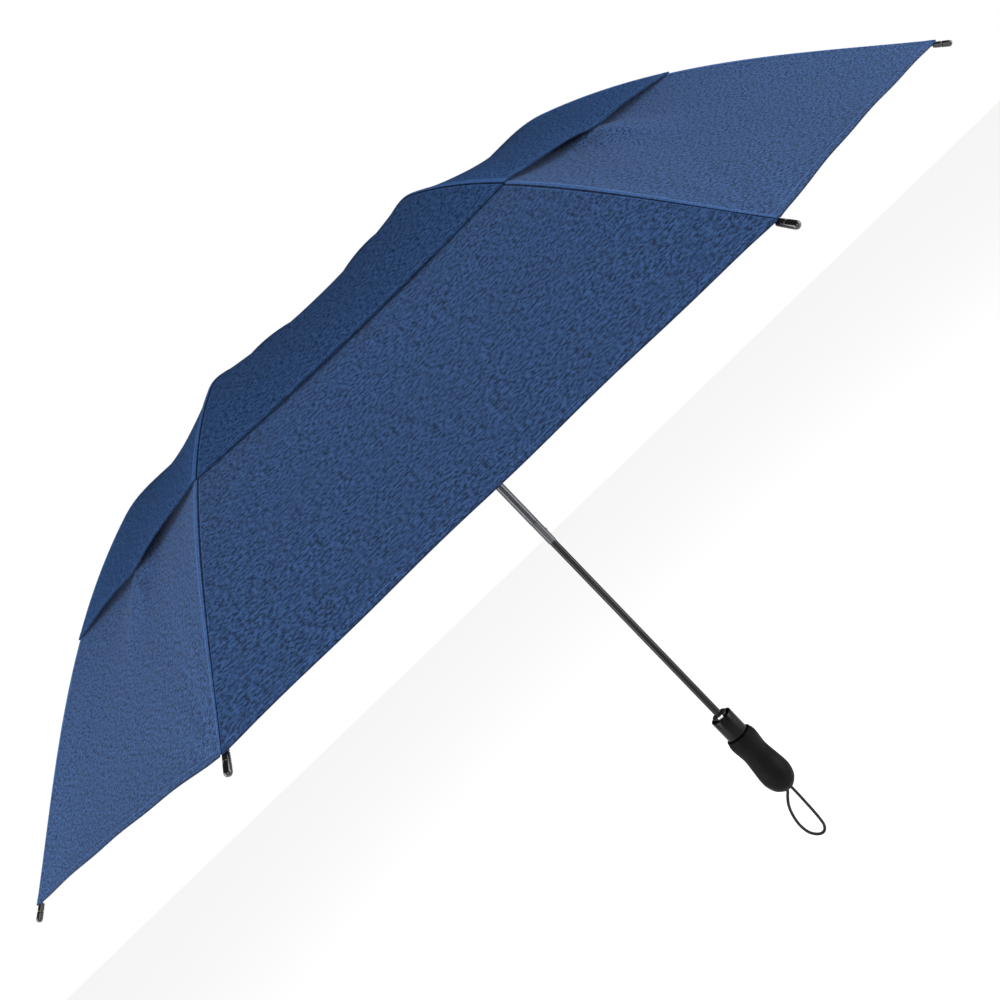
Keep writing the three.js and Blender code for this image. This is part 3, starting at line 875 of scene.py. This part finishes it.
def make_handle():
    bottom, top = low("grip") / MM, high("grip") / MM
    swell = [
        (17.2, 41.5), (18.85, 33.4), (17.35, 19), (17.05, 11.5), (18.5, -2),
        (20.2, -18), (19.6, -27), (16.6, -35.5), (12.5, -40.5),
    ]
    side = [(p.x, p.y) for p in spline_points(swell, 10)]
    outline = [(12.3, top), (15.2, top), (16.1, top - 0.3), (16.8, top - 1), *side]
    outline += [(10.6, bottom + 1.4), (9.4, bottom + 0.5), (8.9, bottom), (8.9, -40), (12.3, -38.6)]
    attach(turned("soft_grip", outline, SOFT, sides=128), "handle", "grip_rubber", "grip")

    plug_low = low("end_plug") / MM
    corners = [
        (0, plug_low, 0), (8.6, plug_low, 1), (8.6, -39.7, 0),
        (11.7, -38.3, 1), (11.7, -36.3, 1), (0, -36.3, 0),
    ]
    plug = turned("plug", rounded(corners, 0.8), GLOSS)
    cut(plug, prism("slot", rectangle((-4.25, 4.25), (plug_low - 2, -38)), -2.05, 2.05))
    attach(plug, "handle", "gloss_black", "end_plug")

    bottom, top = low("collar") / MM, high("collar") / MM
    inner = LOWER_TUBE_R + CLEARANCE
    corners = [
        (inner, bottom, 0), (COLLAR_R, bottom, 1), (COLLAR_R, top, 1), (12.6, top, 1),
        (COLLAR_BORE_R, top - 1.2, 1), (COLLAR_BORE_R, bottom + 2.2, 0), (inner, bottom + 2.2, 0),
    ]
    cup = turned("collar_cup", rounded(corners, 1.1), GLOSS, sides=128)
    centre = (top + bottom - 0.3) / 2
    window = upright_oval(BUTTON_HALF_WIDTH + CLEARANCE, BUTTON_HALF_HEIGHT + CLEARANCE, centre)
    cut(cup, prism("window", window, 8, 20))
    attach(cup, "handle", "gloss_black", "collar")

    bottom, top = low("latch_housing") / MM, high("latch_housing") / MM
    housing = turned("latch_ring", ring(inner, 9.7, bottom, top, 0.5), LATCH_RING)
    cut(housing, prism("slot", rectangle((-2.6, 2.6), (bottom + 1.7, top + 4)), 4, 12))
    attach(housing, "handle", "chrome", "latch_housing")
    make_button(centre)


def make_button(centre):
    """A domed oval push button with a raised bar across its front and a recess behind for the lever."""
    face_radius = 16.2
    steps = ((1, 5.2), (1, 0.9), (0.985, 0.45), (0.95, 0.18), (0.88, 0.04), (0.72, 0), (0.5, 0), (0.25, 0))
    outline = upright_oval(BUTTON_HALF_WIDTH, BUTTON_HALF_HEIGHT, 0)
    vertices = []
    for share, drop in steps:
        for x, z in outline:
            bar = 0.35 * math.exp(-((z * share / 1.6) ** 2)) if drop < 0.1 else 0
            depth = math.sqrt(face_radius**2 - (x * share) ** 2) - drop + bar
            if drop > 1:  # the back is flat
                depth = face_radius - drop
            vertices.append((x * share * MM, depth * MM, (centre + z * share) * MM))
    faces = bridge_rings(len(steps), len(outline))
    faces.append(tuple(reversed(range(len(outline)))))
    faces.append(tuple(range(len(vertices) - len(outline), len(vertices))))
    button = make_mesh("push_button", vertices, faces, CHROME)
    cut(button, prism("recess", rectangle((-4.2, 4.2), (centre - 20, centre + 20)), 10, 12.3))
    attach(button, "button", "chrome", "release_button")


def make_rib_tips():
    """Capped rib ends, each with the small eyelet that holds the cloth's corner."""
    length = 17
    outline = [
        (0, length), (1.2, length - 0.1), (2.2, length - 0.6), (2.85, length - 1.6), (3.1, length - 3),
        (3.05, 8), (2.7, 7.6), (2.7, 6.8), (3, 6.4), (2.79, 0.3), (2.5, 0), (2.2, 0), (2.2, 11), (0, 11),
    ]
    slope = float(pitch(TIP_R - length * MM / 2))
    end = Vector((TIP_R, 0.6 * MM, RIM_Z + float(rise(TIP_R)) - RIB_DROP - 1.6 * MM))
    lay = Matrix.Translation(end) @ Matrix.Rotation(math.pi / 2 + slope, 4, "Y")
    lay = lay @ Matrix.Translation((0, 0, -length * MM))
    for i in range(RIBS):
        turn = Matrix.Rotation(rib_angle(i), 4, "Z")
        tip = turned(f"tip_cap_{i + 1}", outline, TIP_BLACK, sides=48, matrix=turn @ lay)
        attach(tip, f"outer_arm_{i + 1}", "gloss_black", f"rib_tip_{i + 1}")


def make_spring(name, node, body, radius, wire, turns, place, length):
    steps = 24 * turns
    route = []
    for i in range(steps + 1):
        angle = 2 * math.pi * turns * i / steps
        spot = Vector((radius * math.cos(angle), radius * math.sin(angle), length * i / steps))
        route.append(place @ spot)
    axis = (place.to_3x3() @ Vector((0, 0, 1))).normalized()
    spring = swept(name, route, lambda walked, angle: wire, STEEL, axis, sides=8)
    return attach(spring, body, "rib_steel", node)


def make_springs():
    bottom, top = low("opening_spring"), high("opening_spring")
    spring = make_spring(
        "opening_coil", "opening_spring", "upper_shaft", 4 * MM, 0.45 * MM, 16,
        Matrix.Translation((0, 0, bottom)), top - bottom,
    )
    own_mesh(spring)

    corner, far_corner = (Vector(point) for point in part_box("button_spring"))
    wire = 0.3 * MM
    back, front = corner.y + wire, far_corner.y - wire
    height = (corner.z + far_corner.z) / 2
    place = Matrix.Translation((0, back, height)) @ Matrix.Rotation(-math.pi / 2, 4, "X")
    coil = make_spring("button_coil", "button_spring", "handle", 1.8 * MM, wire, 2, place, front - back)
    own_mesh(coil)


make_shaft()
make_crown()
make_handle()
make_rib_tips()
make_springs()

# ---------- CAD nodes kept as they are, with softened edges and better materials ----------


def smooth_by_angle():
    """Geometry nodes that shade a solid smooth except across its sharp edges."""
    group = bpy.data.node_groups.new("smooth_by_angle", "GeometryNodeTree")
    group.interface.new_socket("Geometry", in_out="INPUT", socket_type="NodeSocketGeometry")
    group.interface.new_socket("Geometry", in_out="OUTPUT", socket_type="NodeSocketGeometry")
    start = group.nodes.new("NodeGroupInput")
    end = group.nodes.new("NodeGroupOutput")
    faces = group.nodes.new("GeometryNodeSetShadeSmooth")
    edges = group.nodes.new("GeometryNodeSetShadeSmooth")
    edges.domain = "EDGE"
    edges.inputs["Shade Smooth"].default_value = False
    angle = group.nodes.new("GeometryNodeInputMeshEdgeAngle")
    sharp = group.nodes.new("FunctionNodeCompare")
    sharp.operation = "GREATER_THAN"
    sharp.inputs[1].default_value = SHARP_ANGLE
    group.links.new(angle.outputs[0], sharp.inputs[0])
    group.links.new(sharp.outputs[0], edges.inputs["Selection"])
    group.links.new(start.outputs[0], faces.inputs["Geometry"])
    group.links.new(faces.outputs[0], edges.inputs["Geometry"])
    group.links.new(edges.outputs[0], end.inputs[0])
    return group


SMOOTHING = smooth_by_angle()


def refinish(material, width, *names):
    for name in names:
        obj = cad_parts[name]
        obj.data.materials.clear()
        obj.data.materials.append(material)
        bevel = obj.modifiers.new("soft_edges", "BEVEL")
        bevel.width = width
        bevel.segments = 2
        bevel.limit_method = "ANGLE"
        bevel.angle_limit = SHARP_ANGLE
        obj.modifiers.new("smooth_faces", "NODES").node_group = SMOOTHING


def numbered(name):
    return [f"{name}_{i + 1}" for i in range(RIBS)]


refinish(STEEL, 0.2 * MM, *numbered("inner_rib"), *numbered("stretcher"))
refinish(STEEL, 0.05 * MM, "crown_wire", "runner_wire", "latch_lever", "lever_pin")
refinish(GLASS_FIBRE, 0.3 * MM, *numbered("outer_rib"))
refinish(MATTE, 0.2 * MM, "crown_notch", "runner", "handle_core")

# ---------- floor and light ----------

FLOOR_Z = -1.0
FLOOR_HALF = 12
WHITE = (1, 1, 1, 1)
FLOOR_GLOW = 0.75
ROOM_LIGHT = 0.18
SIDE_POWER = 175
FRONT_POWER = 45


def make_stage():
    corners = [(x * FLOOR_HALF, y * FLOOR_HALF, FLOOR_Z) for x, y in ((-1, -1), (1, -1), (1, 1), (-1, 1))]
    tree = Tree("pale_floor")
    speckle = tree.noise(tree.object_space(), 8)
    tree.set(Base_Color=tree.blend(speckle, (0.86, 0.86, 0.86, 1), (0.9, 0.9, 0.9, 1)), Roughness=0.9)
    tree.set(Emission_Color=WHITE, Emission_Strength=FLOOR_GLOW)
    floor = make_mesh("floor", corners, [(0, 1, 2, 3)], tree.material)


def make_softbox(name, location, aim, size, power):
    data = bpy.data.lights.new(name, "AREA")
    data.shape = "RECTANGLE"
    data.size, data.size_y = size
    data.energy = power
    light = bpy.data.objects.new(name, data)
    light.location = location
    light.rotation_mode = "QUATERNION"
    light.rotation_quaternion = (Vector(aim) - Vector(location)).to_track_quat("-Z", "Y")
    light.visible_camera = False
    bpy.context.scene.collection.objects.link(light)


def make_world():
    world = bpy.data.worlds.new("studio")
    world.use_nodes = True
    tree = world.node_tree
    tree.nodes.clear()
    output = tree.nodes.new("ShaderNodeOutputWorld")
    room = tree.nodes.new("ShaderNodeBackground")
    room.inputs[0].default_value = WHITE
    room.inputs[1].default_value = ROOM_LIGHT
    backdrop = tree.nodes.new("ShaderNodeBackground")
    backdrop.inputs[0].default_value = WHITE
    backdrop.inputs[1].default_value = 1.0
    rays = tree.nodes.new("ShaderNodeLightPath")
    mix = tree.nodes.new("ShaderNodeMixShader")
    tree.links.new(rays.outputs["Is Camera Ray"], mix.inputs[0])
    tree.links.new(room.outputs[0], mix.inputs[1])
    tree.links.new(backdrop.outputs[0], mix.inputs[2])
    tree.links.new(mix.outputs[0], output.inputs[0])
    bpy.context.scene.world = world


CENTRE = (0, 0, RIM_Z)
make_stage()
make_world()
for sign in (-1, 1):
    make_softbox(f"side_light_{sign}", (sign * 3.2, -1.2, RIM_Z + 0.2), CENTRE, (2.4, 3.2), SIDE_POWER)
make_softbox("front_light", (0, -3.6, RIM_Z), CENTRE, (2.5, 2.0), FRONT_POWER)
bpy.context.scene.view_settings.view_transform = "Standard"
